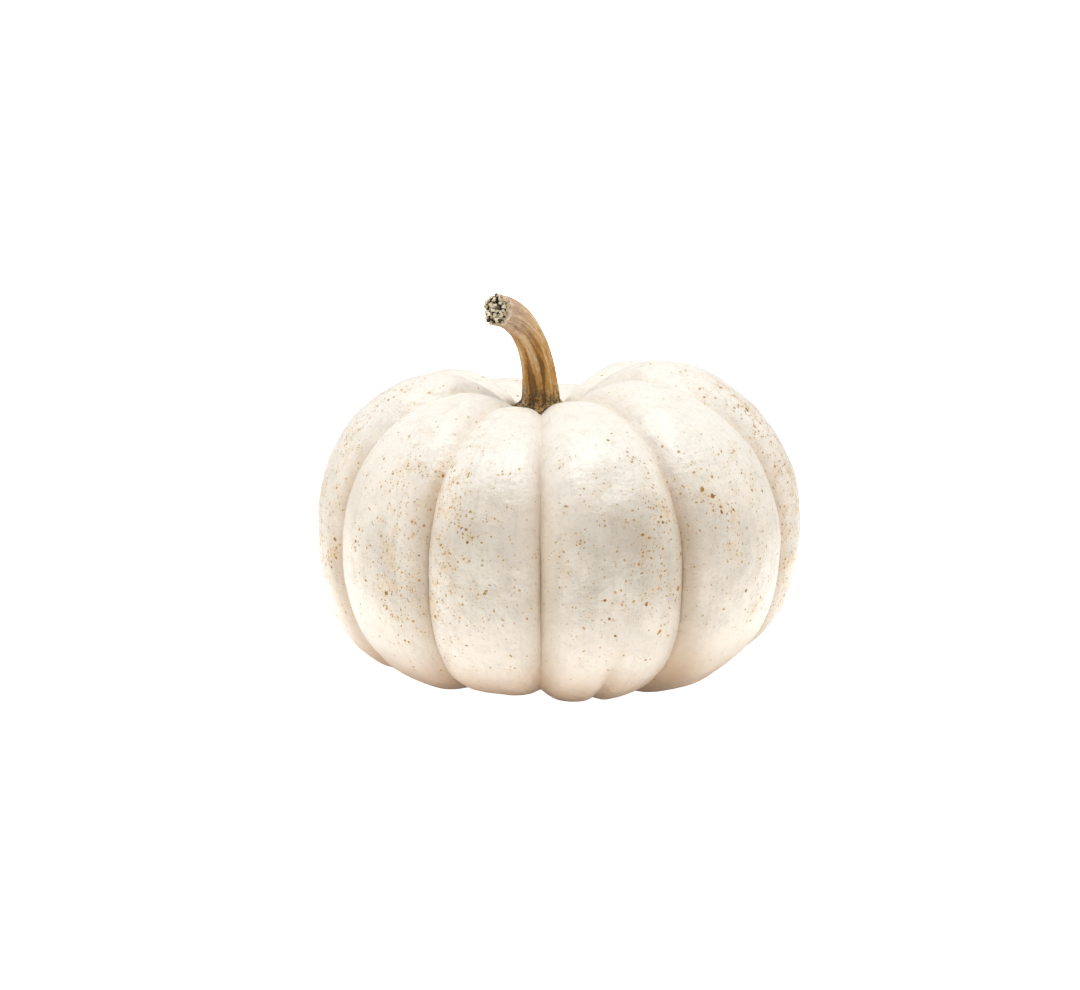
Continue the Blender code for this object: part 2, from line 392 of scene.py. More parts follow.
def rind_grid():
    """The fruit's grid of points, with what its lobes are at each of them."""
    columns = lobed_columns()
    body = np.linspace(-OVAL_TURN, OVAL_TURN, RINGS)
    turns = np.concatenate([np.full(DISC_RINGS, body[0]), body, np.full(DISC_RINGS, body[-1])])
    disc = np.arange(DISC_RINGS) / DISC_RINGS
    inward = np.concatenate([1.0 - disc, np.zeros(RINGS), disc + 1.0 / DISC_RINGS])
    inward[0] = inward[-1] = 1.0 - 0.5 / DISC_RINGS
    mesh = grid_mesh("rind_grid", len(columns), len(turns))
    level_rings = np.zeros(len(turns))
    level_columns = np.zeros(len(columns))
    for place, name in enumerate(("azimuth", "reach", "crest", "foot"), start=2):
        carry(mesh, name, over_rings(columns[:, place], level_rings))
    across = over_rings(columns[:, 1], level_rings)
    lobe = over_rings(columns[:, 0], level_rings)
    turn = over_rings(level_columns, turns)
    middle = over_rings(level_columns, inward)
    middle[-2:] = 1.0
    carry(mesh, "across", across)
    carry(mesh, "turn", turn)
    carry(mesh, "inward", middle)

    def marked(marks):
        """How strong the marks of one list are, at each point."""
        total = np.zeros(len(turn))
        for number, place, height, wide, tall, strength in marks:
            off = ((across - place) / wide) ** 2 + ((np.degrees(turn) - height) / tall) ** 2
            total += np.where(lobe == number, strength * np.exp(-off), 0.0)
        return total

    fade = np.clip((turn - CREASE_START) / (CREASE_FULL - CREASE_START), 0.0, 1.0)
    fade = fade * fade * (3.0 - 2.0 * fade)
    crease = np.where(lobe == 0, fade * np.exp(-(((across - CREASE_ACROSS) / CREASE_SPREAD) ** 2)), 0.0)
    carry(mesh, "dent", marked(DENTS) * (1.0 - across**4) + CREASE_DEPTH * crease)
    carry(mesh, "wrinkled", marked(WRINKLES))
    carry(mesh, "painted_shade_and_light", marked(SHADE_AND_LIGHT_MARKS))
    carry(mesh, "painted_groove_shade", marked(GROOVE_SHADE_MARKS))
    carry(mesh, "drift", marked(DRIFTS))
    carry(mesh, "rust", marked(RUST_CLUSTERS))
    return mesh


RIND_NUMBERS = {
    "Axis X": AXIS_X,
    "Axis Y": AXIS_Y,
    "Widest Level": WIDEST_LEVEL,
    "Oval Middle": 0.42,
    "Oval Turn": OVAL_TURN,
    "Hollow Turn": math.radians(88.0),
    "Shoulder Fullness": 1.0,
    "Belly Fullness": 0.82,
    "Groove At Side": 0.125,
    "Groove At Stem": 0.06,
    "Groove At Scar": 0.03,
    "Shoaling Above": 2.0,
    "Shoaling Below": 1.0,
    "Arch Flatness": 3.0,
    "Arch Steepness": 0.6,
    "Arch Steepness At Stem": 1.6,
    "Arch Steepness At Scar": 1.3,
    "Seat Radius": 7.4 * MM,
    "Seat Level": 59.3 * MM,
    "Scar Radius": 4.5 * MM,
    "Scar Level": 6.0 * MM,
    "Groove Wander": 0.012,
    "Lump Height": 0.045,
    "Lump Size": 17.0 * MM,
    "Ripple Height": 0.015,
    "Ripple Size": 5.5 * MM,
}


def rind_tree():
    """Presses a grid of points into the lobed rind, and lays its grooves' depth on it for the colours."""
    tree, given, number = geometry_tree("pressed_rind", RIND_NUMBERS)
    azimuth, across, turn, reach, crest, foot, inward, dent = (
        Field(tree, named(tree, name))
        for name in ("azimuth", "across", "turn", "reach", "crest", "foot", "inward", "dent")
    )
    above = turn.sum("GREATER_THAN", turn, 0.0)
    share = turn.of("ABSOLUTE") / number["Oval Turn"]

    # Soft unevenness is read on a plain round form, so that it crosses the grooves with no break.
    around = vector(
        tree,
        (turn.of("COSINE") + ROUND_MIDDLE) * azimuth.of("SINE"),
        (turn.of("COSINE") + ROUND_MIDDLE) * azimuth.of("COSINE"),
        turn.of("SINE"),
    )
    wander = (noise(tree, around, 1.3, detail=1.0) - 0.5) * number["Groove Wander"] * 2.0
    azimuth = azimuth + wander * (1.0 - share)

    roundest = number["Arch Steepness At Scar"] + above * (
        number["Arch Steepness At Stem"] - number["Arch Steepness At Scar"]
    )
    steepness = number["Arch Steepness"] + share * (roundest - number["Arch Steepness"])
    arch = (1.0 - across.of("ABSOLUTE") ** number["Arch Flatness"]) ** steepness
    depth_above = number["Groove At Side"] + share ** number["Shoaling Above"] * (
        number["Groove At Stem"] - number["Groove At Side"]
    )
    depth_below = number["Groove At Side"] + share ** number["Shoaling Below"] * (
        number["Groove At Scar"] - number["Groove At Side"]
    )
    depth = depth_below + above * (depth_above - depth_below)
    lump_scale = OVAL_SIZE / number["Lump Size"]
    ripple_scale = OVAL_SIZE / number["Ripple Size"]
    lumps = (noise(tree, around, lump_scale, detail=1.5) - 0.5) * number["Lump Height"]
    ripples = (noise(tree, around, ripple_scale, detail=2.0) - 0.5) * number["Ripple Height"]
    fullness = 1.0 - depth * (1.0 - arch) - dent + lumps + ripples

    fuller = number["Belly Fullness"] + above * (number["Shoulder Fullness"] - number["Belly Fullness"])
    rise = foot + above * (crest - foot)
    outward = turn.of("COSINE")
    upward = turn.of("SINE")
    outward = outward.of("SIGN") * outward.of("ABSOLUTE") ** fuller
    upward = upward.of("SIGN") * upward.of("ABSOLUTE") ** fuller
    middle = reach * number["Oval Middle"]
    radius = middle + (reach - middle) * fullness * outward
    level = number["Widest Level"] + rise * fullness * upward

    ring_radius = number["Scar Radius"] + above * (number["Seat Radius"] - number["Scar Radius"])
    ring_level = number["Scar Level"] + above * (number["Seat Level"] - number["Scar Level"])
    settle = (turn.of("ABSOLUTE") - number["Hollow Turn"]) / (number["Oval Turn"] - number["Hollow Turn"])
    settle = settle.ease(0.0, 1.0)
    radius = (radius + settle * (ring_radius - radius)) * (1.0 - inward)
    level = (level + settle * (ring_level - level)).least(0.0)

    place = vector(
        tree,
        number["Axis X"] + radius * azimuth.of("SINE"),
        number["Axis Y"] - radius * azimuth.of("COSINE"),
        level,
    )
    moved = add_node(
        tree, "GeometryNodeSetPosition", feeds={"Geometry": given.outputs["Geometry"], "Position": place}
    )
    kept = add_node(
        tree,
        "GeometryNodeStoreNamedAttribute",
        {"data_type": "FLOAT", "domain": "POINT"},
        {"Geometry": moved.outputs[0], "Name": "groove", "Value": 1.0 - arch},
    )
    finish_tree(tree, given, kept.outputs[0])
    return tree


def material_tree(name):
    """A new material's node tree, emptied to its surface shader and its output."""
    material = bpy.data.materials.new(name)
    material.use_nodes = True
    tree = material.node_tree
    return material, tree, tree.nodes["Principled BSDF"]


def painted(tree, share, first, second):
    """One colour laid over another, as far as a mask says."""
    feeds = {0: share, 6: first, 7: second}
    return add_node(tree, "ShaderNodeMix", {"data_type": "RGBA"}, feeds).outputs[2]


def carried(tree, name):
    """What a mesh carries under a name, as a field for its material."""
    node = add_node(tree, "ShaderNodeAttribute", {"attribute_name": name})
    return Field(tree, node.outputs["Fac"])


def embossed(tree, surface, height, strength, distance):
    """Roughens a surface by a fine relief that is too small for its mesh."""
    feeds = {"Strength": strength, "Distance": distance, "Height": height}
    bump = add_node(tree, "ShaderNodeBump", feeds=feeds)
    feed(tree, surface.inputs["Normal"], bump.outputs["Normal"])


def speckles(tree, place, cell, size, softness, density):
    """Specks scattered one to a cell: their mask, a wider mask for their halos, and a random number."""
    feeds = {"Vector": place, "Scale": 1.0 / cell}
    cells = add_node(tree, "ShaderNodeTexVoronoi", feeds=feeds)
    chance = add_node(tree, "ShaderNodeSeparateColor", feeds={"Color": cells.outputs["Color"]})
    present = density.sum("LESS_THAN", Field(tree, chance.outputs[0]), density)
    radius = size / cell * (0.45 + 0.55 * Field(tree, chance.outputs[1]) ** 2.0)
    distance = Field(tree, cells.outputs["Distance"])
    inside = (radius - distance) / (softness / cell)
    halo = (distance / radius).ease(2.3, 0.8) * present
    return inside.ease(-0.5, 0.5) * present, halo, Field(tree, chance.outputs[2])


# How fine each pattern on the rind is: how many to a metre, or how many round it and along an oval.
CLOUDS = 52.0
LOOSE_DRIFTS = 60.0
PATCHES = 120.0
CLUMPS = 310.0
CRUMPLES = 330.0
PORES = 1100.0
RAGGED_RIMS = 1500.0
FINE_LINES = (44.0, 2.6)
BROAD_LINES = (13.0, 1.6)
WRINKLE_LINES = (7.0, 13.0)
RAG_REACH = 0.6 * MM
# Specks in four sizes: the cell that each has to itself, the radius of the largest and its soft rim.
DUST = (0.55 * MM, 0.21 * MM, 0.10 * MM)
FINE_FLECKS = (0.85 * MM, 0.31 * MM, 0.11 * MM)
MEDIUM_FLECKS = (1.3 * MM, 0.39 * MM, 0.13 * MM)
RUST_SPOTS = (1.9 * MM, 0.58 * MM, 0.18 * MM)

CREAM = (0.865, 0.78, 0.662, 1.0)
# A paler cream, partly the rind's own and partly a painted highlight on its upper part.
PALE_CREAM_AND_HIGHLIGHT = (0.93, 0.885, 0.80, 1.0)
# A grey that paints shade on the rind, and also gives its own fine grey mottling and lines.
PAINTED_SHADE_AND_MOTTLE_GREY = (0.58, 0.516, 0.425, 1.0)
# Peach below: partly the rind's warm tint, partly painted warm bounce light.
PEACH_TINT_AND_BOUNCE = (0.92, 0.675, 0.485, 1.0)
# The grooves' own warm tan, also used to paint shade in and beside them and under the fruit.
GROOVE_TAN_AND_SHADE = (0.60, 0.42, 0.265, 1.0)
SMUDGE = (0.68, 0.47, 0.23, 1.0)
HALO = (0.80, 0.56, 0.27, 1.0)
OLIVE_FLECK = (0.32, 0.17, 0.032, 1.0)
ORANGE_FLECK = (0.41, 0.215, 0.035, 1.0)
OCHRE_SPOT = (0.38, 0.19, 0.022, 1.0)
DARK_SPOT = (0.21, 0.095, 0.014, 1.0)
SEAT_STAIN = (0.34, 0.26, 0.13, 1.0)
SEAT_STAIN_RIM = (9.5 * MM, 7.0 * MM)
SCAR_BROWN = (0.30, 0.20, 0.11, 1.0)


def rind_material():
    """Waxy cream with russet flecks; painted shade greys its middle and tans its grooves, a painted
    highlight pales its top, and peach below is partly painted bounce light.
    """
    material, tree, surface = material_tree("waxy_rind")
    place = add_node(tree, "ShaderNodeTexCoord").outputs["Object"]
    turn = carried(tree, "turn")
    groove = carried(tree, "groove")
    inward = carried(tree, "inward")
    drift = carried(tree, "drift")
    rust = carried(tree, "rust")
    wrinkled = carried(tree, "wrinkled")
    shadow = carried(tree, "painted_groove_shade")
    painted_shade_and_light = carried(tree, "painted_shade_and_light")
    split = add_node(tree, "ShaderNodeSeparateXYZ", feeds={"Vector": place})
    across_x = Field(tree, split.outputs["X"]) - AXIS_X
    across_y = Field(tree, split.outputs["Y"]) - AXIS_Y
    radius = (across_x * across_x + across_y * across_y) ** 0.5
    compass_x = across_x / (radius + 0.0001)
    compass_y = across_y / (radius + 0.0001)

    def unrolled(pattern):
        """The place to read a pattern that runs down the lobes or across them."""
        round_it, along = pattern
        return vector(tree, compass_x * round_it, compass_y * round_it, turn * along)

    # Fine lines run down the lobes from the stem, closer together than they are long.
    lines = noise(tree, unrolled(FINE_LINES), 1.0, detail=3.0, roughness=0.65)
    broad_lines = noise(tree, unrolled(BROAD_LINES), 1.0, detail=2.0)
    wrinkles = noise(tree, unrolled(WRINKLE_LINES), 1.0, detail=3.0, roughness=0.6)
    clouds = noise(tree, place, CLOUDS, detail=4.0, roughness=0.6)
    patches = noise(tree, place, PATCHES, detail=4.0, roughness=0.65)
    crumple = noise(tree, place, CRUMPLES, detail=4.0, roughness=0.7)
    pores = noise(tree, place, PORES, detail=2.0)

    # Painted shade: a greyer belt round the middle and greyer lower flanks beside the grooves stand in for
    # shade, and so do the listed grey marks; the noise in them and the crumpled mottling are the rind's own
    # grey.
    shaded_belt = turn.ease(-0.60, -0.05) * turn.ease(0.65, 0.15)
    flank_shade = groove.ease(0.05, 0.55)
    below = turn.ease(0.10, -0.20)
    lowest = turn.ease(-0.50, -1.15)
    high = turn.ease(0.40, 0.95)
    # Paler cream towards the top is partly the rind's own and partly a painted highlight from the light
    # overhead.
    colour = painted(tree, high * 0.8 + clouds * 0.2, CREAM, PALE_CREAM_AND_HIGHLIGHT)
    painted_shade_and_mottle = shaded_belt * (0.12 + clouds.ease(0.38, 0.62) * 0.45 + broad_lines.ease(0.42, 0.70) * 0.25)
    painted_shade_and_mottle = painted_shade_and_mottle + painted_shade_and_light + below * flank_shade * 0.35 + crumple.ease(0.46, 0.74) * 0.26
    colour = painted(tree, painted_shade_and_mottle, colour, PAINTED_SHADE_AND_MOTTLE_GREY)
    # Peach towards the lowest part is partly the rind's warm tint and partly painted warm bounce light from
    # beneath.
    colour = painted(tree, lowest * (0.75 + 0.6 * patches), colour, PEACH_TINT_AND_BOUNCE)
    # Painted shade in a warm tan: towards the underside, in and beside the grooves, thinner towards the top
    # where the light falls, and at the listed marks; in the grooves it is partly the rind's own tan tint.
    colour = painted(tree, turn.ease(-1.00, -1.50) * (0.35 + 0.5 * patches), colour, GROOVE_TAN_AND_SHADE)
    colour = painted(tree, groove**1.6 * (0.20 + 0.5 * patches) * (1.0 - 0.6 * high), colour, GROOVE_TAN_AND_SHADE)
    colour = painted(tree, shadow * (0.55 + 0.5 * patches), colour, GROOVE_TAN_AND_SHADE)
    hairlines = lines.ease(0.50, 0.78) * 0.28 + pores.ease(0.50, 0.80) * 0.26
    colour = painted(tree, hairlines, colour, PAINTED_SHADE_AND_MOTTLE_GREY)

    # Flecks gather in drifts, and larger rust spots in clusters. A ragged place makes their rims uneven.
    rag = add_node(
        tree, "ShaderNodeTexNoise", feeds={"Vector": place, "Scale": RAGGED_RIMS, "Detail": 1.0}
    )
    shifted = add_node(
        tree,
        "ShaderNodeVectorMath",
        {"operation": "MULTIPLY_ADD"},
        {0: rag.outputs["Color"], 1: (RAG_REACH, RAG_REACH, RAG_REACH), 2: place},
    ).outputs[0]
    loose = noise(tree, place, LOOSE_DRIFTS, detail=2.0).ease(0.42, 0.68)
    clumps = noise(tree, place, CLUMPS, detail=3.0)
    clumped = 0.30 + 1.7 * clumps.ease(0.42, 0.66)
    smudge = clumps.ease(0.50, 0.66)
    colour = painted(tree, (loose * 0.14 + drift * 0.38 + rust * 0.35) * smudge, colour, SMUDGE)
    speckled = turn.ease(-0.60, -0.20) * turn.ease(1.25, 0.65)
    crowd = (0.028 + (0.05 + 0.22 * loose) * speckled + drift * (0.70 + 0.95 * patches)) * clumped
    bright = high.least(rust * 0.7).least(drift * patches * 0.8)
    dust, _, dust_tone = speckles(tree, shifted, *DUST, crowd * 0.85)
    density = crowd * 0.75 + rust * 0.6
    fine, fine_halo, fine_tone = speckles(tree, shifted, *FINE_FLECKS, density)
    density = crowd * 0.26 + rust * 0.9
    medium, medium_halo, medium_tone = speckles(tree, shifted, *MEDIUM_FLECKS, density)
    density = crowd * speckled * 0.04 + rust * 1.1
    large, large_halo, large_tone = speckles(tree, shifted, *RUST_SPOTS, density)
    halo = (fine_halo * 0.7).least(medium_halo).least(large_halo)
    colour = painted(tree, halo * 0.36, colour, HALO)
    tint = painted(tree, bright, OLIVE_FLECK, ORANGE_FLECK)
    colour = painted(tree, dust * (0.25 + 0.50 * dust_tone), colour, tint)
    tint = painted(tree, bright.least(fine_tone.ease(0.35, 0.75)), OLIVE_FLECK, ORANGE_FLECK)
    colour = painted(tree, fine * (0.45 + 0.50 * fine_tone), colour, tint)
    tint = painted(tree, medium_tone.ease(0.60, 0.95), OCHRE_SPOT, DARK_SPOT)
    colour = painted(tree, medium * (0.6 + 0.4 * medium_tone), colour, tint)
    tint = painted(tree, large_tone.ease(0.4, 0.9), OCHRE_SPOT, DARK_SPOT)
    colour = painted(tree, large * 0.95, colour, tint)

    seat = turn.sum("GREATER_THAN", turn, 0.0) * radius.ease(*SEAT_STAIN_RIM)
    colour = painted(tree, seat * patches.ease(0.35, 0.6) * 0.8, colour, SEAT_STAIN)
    scar = inward * turn.sum("LESS_THAN", turn, 0.0)
    cork = scar.ease(0.0, 0.3)
    colour = painted(tree, cork * 0.85, colour, SCAR_BROWN)
    feed(tree, surface.inputs["Base Color"], colour)

    worn = fine.least(medium).least(large)
    feed(tree, surface.inputs["Roughness"], 0.30 + 0.14 * patches + 0.20 * worn + 0.3 * cork)
    feed(tree, surface.inputs["Coat Weight"], 0.22 - 0.15 * worn)
    surface.inputs["Coat Roughness"].default_value = 0.24
    surface.inputs["Subsurface Weight"].default_value = 0.08
    surface.inputs["Subsurface Radius"].default_value = (1.0, 0.62, 0.38)
    surface.inputs["Subsurface Scale"].default_value = 1.6 * MM

    relief = patches * 1.1 + crumple * 0.75 + wrinkled * wrinkles * 1.1
    height = relief + pores * 0.03 + lines * 0.14 + worn * 0.06 + cork * patches * 0.4
    embossed(tree, surface, height, strength=0.66, distance=1.0 * MM)
    return material


fruit = grown("fruit_rind", rind_grid(), rind_tree(), rind_material(), RIND_NUMBERS)
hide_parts("fruit")
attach(fruit, "root")


# The stem
# The dry stalk that the fruit hung from: ribbed and woody, spread at its foot into toes that grip the
# crown, bent over to the front left as it dried, and cut short. It grew out of the fruit's seat.

SEAT_LEVEL = RIND_NUMBERS["Seat Level"]
STEM_GAP = 0.3 * MM
STEM_LENGTH = 31.9 * MM
STEM_LEAN = math.radians(-37.5)
STEM_BEND = math.radians(80.0)
STEM_BEND_LATENESS = 1.4
STEM_RINGS = 150
STEM_SIDES = 160
STEM_CAP_RINGS = 12
END_SHARE = 0.9999
FIBRES = (4.5, 3.0)
KNOTS = (1.2, 6.0)
TORN_GRAIN = 900.0
# Stains along the stem: the angle round it in degrees, the spread, the share of its length where the
# stain is strongest, its spread along, and its strength. A negative one is a pale, worn ridge.
STEM_BANDS = (
    (79.0, 14.0, 0.22, 0.20, 1.60),
    (84.0, 8.0, 0.46, 0.14, 0.45),
    (34.0, 10.0, 0.36, 0.14, 1.20),
    (44.0, 12.0, 0.10, 0.12, 0.45),
    (28.0, 9.0, 0.62, 0.14, 0.45),
    (54.0, 8.0, 0.40, 0.22, -0.60),
    (58.0, 12.0, 0.64, 0.16, -0.45),
    (114.0, 14.0, 0.30, 0.40, -0.55),
    (-14.0, 14.0, 0.68, 0.28, -0.30),
    (2.0, 14.0, 0.22, 0.24, -0.30),
    (108.0, 10.0, 0.70, 0.22, 0.40),
    (50.0, 8.0, 0.74, 0.16, 0.40),
    (200.0, 16.0, 0.30, 0.30, 0.90),
    (250.0, 12.0, 0.50, 0.30, 0.80),
    (225.0, 10.0, 0.40, 0.40, -0.70),
    (285.0, 14.0, 0.30, 0.30, 0.60),
)
STEM_NUMBERS = {
    "Length": STEM_LENGTH,
    "Foot Radius": 4.5 * MM,
    "End Radius": 3.3 * MM,
    "Taper": 3.2,
    "Ribs": 8.0,
    "Rib Depth": 0.05,
    "Rib Phase": math.radians(-26.0),
    "Rib Twist": 0.25,
    "Fibre Depth": 0.035,
    "Flare Height": 2.6 * MM,
    "Flare Reach": 2.6 * MM,
    "Toe Share": 0.3,
    "Cut Roughness": 0.9 * MM,
    "Cut Hollow": 0.9 * MM,
}


def stem_path(shares):
    """The stem's middle line at each share of its length: the places, the directions and the side."""
    outward = np.array([math.sin(STEM_LEAN), -math.cos(STEM_LEAN), 0.0])
    upward = np.array([0.0, 0.0, 1.0])
    bends = STEM_BEND * shares**STEM_BEND_LATENESS
    directions = np.outer(np.cos(bends), upward) + np.outer(np.sin(bends), outward)
    middle_bends = STEM_BEND * ((shares[1:] + shares[:-1]) / 2.0) ** STEM_BEND_LATENESS
    steps = np.outer(np.cos(middle_bends), upward) + np.outer(np.sin(middle_bends), outward)
    steps *= (np.diff(shares) * STEM_LENGTH)[:, None]
    start = np.array([AXIS_X, AXIS_Y, SEAT_LEVEL + STEM_GAP])
    places = start + np.vstack([np.zeros(3), np.cumsum(steps, axis=0)])
    return places, directions, np.cross(upward, outward)


def stem_grid():
    """The stem's grid of points, with the path's own place and cross directions at each of them."""
    shares = np.concatenate(
        [np.zeros(STEM_CAP_RINGS), np.linspace(0.0, 1.0, STEM_RINGS), np.ones(STEM_CAP_RINGS)]
    )
    cap = np.arange(1, STEM_CAP_RINGS + 1) / (STEM_CAP_RINGS + 1)
    inward = np.concatenate([cap[::-1], np.zeros(STEM_RINGS), cap])
    places, directions, side = stem_path(shares)
    angles = np.arange(STEM_SIDES) * math.tau / STEM_SIDES
    mesh = grid_mesh("stem_grid", STEM_SIDES, len(shares))
    level = np.zeros(STEM_SIDES)
    carry(mesh, "share", over_rings(level, shares))
    carry(mesh, "angle", over_rings(angles, np.zeros(len(shares))))
    middle = over_rings(level, inward)
    middle[-2:] = 1.0
    carry(mesh, "inward", middle)
    band = np.zeros((len(shares), STEM_SIDES))
    for at, wide, height, tall, strength in STEM_BANDS:
        off_angle = (np.degrees(angles) - at + 180.0) % 360.0 - 180.0
        off = np.add.outer(((shares - height) / tall) ** 2, (off_angle / wide) ** 2)
        band += strength * np.exp(-off)
    carry(mesh, "band", np.append(band.ravel(), [0.0, 0.0]))
    ends = [0, len(shares) - 1]

    def each(values):
        """A vector for each ring, given to all of that ring's points."""
        return np.vstack([np.repeat(values, STEM_SIDES, axis=0), values[ends]])

    carry(mesh, "core", each(places), "FLOAT_VECTOR")
    carry(mesh, "along", each(directions), "FLOAT_VECTOR")
    fronts = np.cross(side, directions)
    spread = np.cos(angles)[None, :, None] * side + np.sin(angles)[None, :, None] * fronts[:, None, :]
    carry(mesh, "spread", np.vstack([spread.reshape(-1, 3), fronts[ends]]), "FLOAT_VECTOR")
    return mesh


def scaled(tree, direction, length):
    """A vector made longer or shorter."""
    feeds = {0: direction, "Scale": length}
    return add_node(tree, "ShaderNodeVectorMath", {"operation": "SCALE"}, feeds).outputs[0]


def added(tree, first, second):
    """Two vectors, one after the other."""
    return add_node(tree, "ShaderNodeVectorMath", {"operation": "ADD"}, {0: first, 1: second}).outputs[0]


def stem_tree():
    """Swells the path into a ribbed, fibrous stalk with toes at its foot and a torn cut end."""
    tree, given, number = geometry_tree("ribbed_stem", STEM_NUMBERS)
    share, angle, inward = (Field(tree, named(tree, name)) for name in ("share", "angle", "inward"))
    core, along, spread = (named(tree, name, "FLOAT_VECTOR") for name in ("core", "along", "spread"))

    turned = angle + number["Rib Phase"] + share * number["Rib Twist"]
    ribs = (turned * number["Ribs"]).of("COSINE")
    crisp = ribs.of("SIGN") * ribs.of("ABSOLUTE") ** 0.7
    compass_x = turned.of("COSINE")
    compass_y = turned.of("SINE")

    def wrapped(pattern):
        """The place to read a pattern that is drawn out along the stem."""
        round_it, along = pattern
        return vector(tree, compass_x * round_it, compass_y * round_it, share * along)

    fibres = noise(tree, wrapped(FIBRES), 1.0, detail=4.0, roughness=0.65) - 0.5
    knots = noise(tree, wrapped(KNOTS), 1.0, detail=2.0) - 0.5

    shaft = number["End Radius"] + (1.0 - share) ** number["Taper"] * (
        number["Foot Radius"] - number["End Radius"]
    )
    relief = 1.0 + number["Rib Depth"] * crisp + number["Fibre Depth"] * (fibres * 2.2 + knots)
    flare = (1.0 - share * number["Length"] / number["Flare Height"]).least(0.0) ** 2.0
    toes = number["Flare Reach"] * flare * (1.0 + number["Toe Share"] * (ribs - 1.0) + knots * 0.5)
    radius = (shaft * relief + toes) * (1.0 - inward)
    swelled = added(tree, core, scaled(tree, spread, radius))

    at_end = share.sum("GREATER_THAN", share, END_SHARE)
    torn = noise(tree, swelled, TORN_GRAIN, detail=3.0, roughness=0.7) - 0.5
    hollow = inward.ease(0.12, 0.4) * number["Cut Hollow"]
    lift = at_end * (torn * number["Cut Roughness"] * 1.6 - hollow)
    swelled = added(tree, swelled, scaled(tree, along, lift))

    moved = add_node(
        tree, "GeometryNodeSetPosition", feeds={"Geometry": given.outputs["Geometry"], "Position": swelled}
    )
    kept = add_node(
        tree,
        "GeometryNodeStoreNamedAttribute",
        {"data_type": "FLOAT", "domain": "POINT"},
        {"Geometry": moved.outputs[0], "Name": "rib", "Value": crisp},
    )
    finish_tree(tree, given, kept.outputs[0])
    return tree


# Patterns on the stem: how many round it and along it, or how many to a metre.
STREAKS = (5.0, 2.6)
HAIR_STREAKS = (24.0, 6.0)
MOTTLES = (9.0, 13.0)
STEM_STAINS = 260.0
STEM_GRIT = 1300.0

STEM_TAN = (0.62, 0.33, 0.09, 1.0)
STEM_ORANGE = (0.70, 0.34, 0.055, 1.0)
STEM_PALE = (0.88, 0.66, 0.40, 1.0)
STEM_BROWN = (0.18, 0.076, 0.013, 1.0)
STEM_BEIGE = (0.56, 0.39, 0.285, 1.0)
STEM_MAUVE = (0.36, 0.23, 0.19, 1.0)
STEM_DARK = (0.035, 0.024, 0.010, 1.0)
STEM_GREEN = (0.29, 0.22, 0.09, 1.0)
STEM_LIP = (0.72, 0.62, 0.45, 1.0)


def stem_material():
    """Dry brown wood, streaked pale and dark along its ribs, with a gritty foot and a worn lip."""
    material, tree, surface = material_tree("dry_ribbed_stem")
    place = add_node(tree, "ShaderNodeTexCoord").outputs["Object"]
    share = carried(tree, "share")
    rib = carried(tree, "rib")
    inward = carried(tree, "inward")
    band = carried(tree, "band")
    spread = add_node(tree, "ShaderNodeAttribute", {"attribute_name": "spread"}).outputs["Vector"]
    split = add_node(tree, "ShaderNodeSeparateXYZ", feeds={"Vector": spread})
    x, y, z = (Field(tree, split.outputs[name]) for name in "XYZ")

    def wrapped(pattern):
        """The place to read a pattern that is drawn out along the stem."""
        round_it, along = pattern
        return vector(tree, x * round_it, y * round_it, share * along + z * round_it)

    streaks = noise(tree, wrapped(STREAKS), 1.0, detail=4.0, roughness=0.62)
    fine = noise(tree, wrapped(HAIR_STREAKS), 1.0, detail=3.0, roughness=0.6)
    mottle = noise(tree, wrapped(MOTTLES), 1.0, detail=3.0, roughness=0.65)
    stains = noise(tree, place, STEM_STAINS, detail=4.0, roughness=0.65)
    grit = noise(tree, place, STEM_GRIT, detail=3.0, roughness=0.7)

    lower = share.ease(0.72, 0.15)
    mixed = (streaks - 0.5) * 2.8 + (stains - 0.5) * 1.6 + (mottle - 0.5) * 2.4 + (grit - 0.5) * 1.4
    dark = band * 1.15 + mixed + lower * 0.26 - rib * 0.12 - 0.28
    colour = painted(tree, mottle.ease(0.44, 0.62) * 0.8, STEM_TAN, STEM_ORANGE)
    colour = painted(tree, share.ease(0.48, 0.90) * (0.50 + 0.6 * stains), colour, STEM_BEIGE)
    colour = painted(tree, dark.ease(-0.05, -0.95) * 0.75, colour, STEM_PALE)
    colour = painted(tree, dark.ease(0.12, 0.85) * (0.95 - 0.45 * share), colour, STEM_BROWN)
    mauve = share.ease(0.40, 0.75) * streaks.ease(0.46, 0.62) * fine.ease(0.4, 0.6)
    colour = painted(tree, mauve * 0.65, colour, STEM_MAUVE)
    colour = painted(tree, fine.ease(0.52, 0.70) * 0.6, colour, STEM_BROWN)
    foot = share.ease(0.24, 0.03)
    colour = painted(tree, foot * stains.ease(0.38, 0.6) * 0.7, colour, STEM_GREEN)
    colour = painted(tree, foot * grit.ease(0.42, 0.58) * 0.9, colour, STEM_DARK)
    colour = painted(tree, share.ease(0.93, 0.99) * stains.ease(0.35, 0.60), colour, STEM_LIP)
    # Painted shade: the cut face under the crumbs is painted dark, so that the gaps between them show as
    # shadow.
    cut = share.sum("GREATER_THAN", share, END_SHARE) * inward.ease(0.05, 0.14)
    colour = painted(tree, cut, colour, STEM_DARK)
    feed(tree, surface.inputs["Base Color"], colour)
    feed(tree, surface.inputs["Roughness"], 0.55 + 0.3 * fine)

    height = streaks * 0.35 + fine * 0.20 + grit * (0.05 + 0.35 * foot)
    embossed(tree, surface, height, strength=0.9, distance=1.0 * MM)
    return material


stem = grown("stem_stalk", stem_grid(), stem_tree(), stem_material(), STEM_NUMBERS)
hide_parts("stem")
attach(stem, "root")


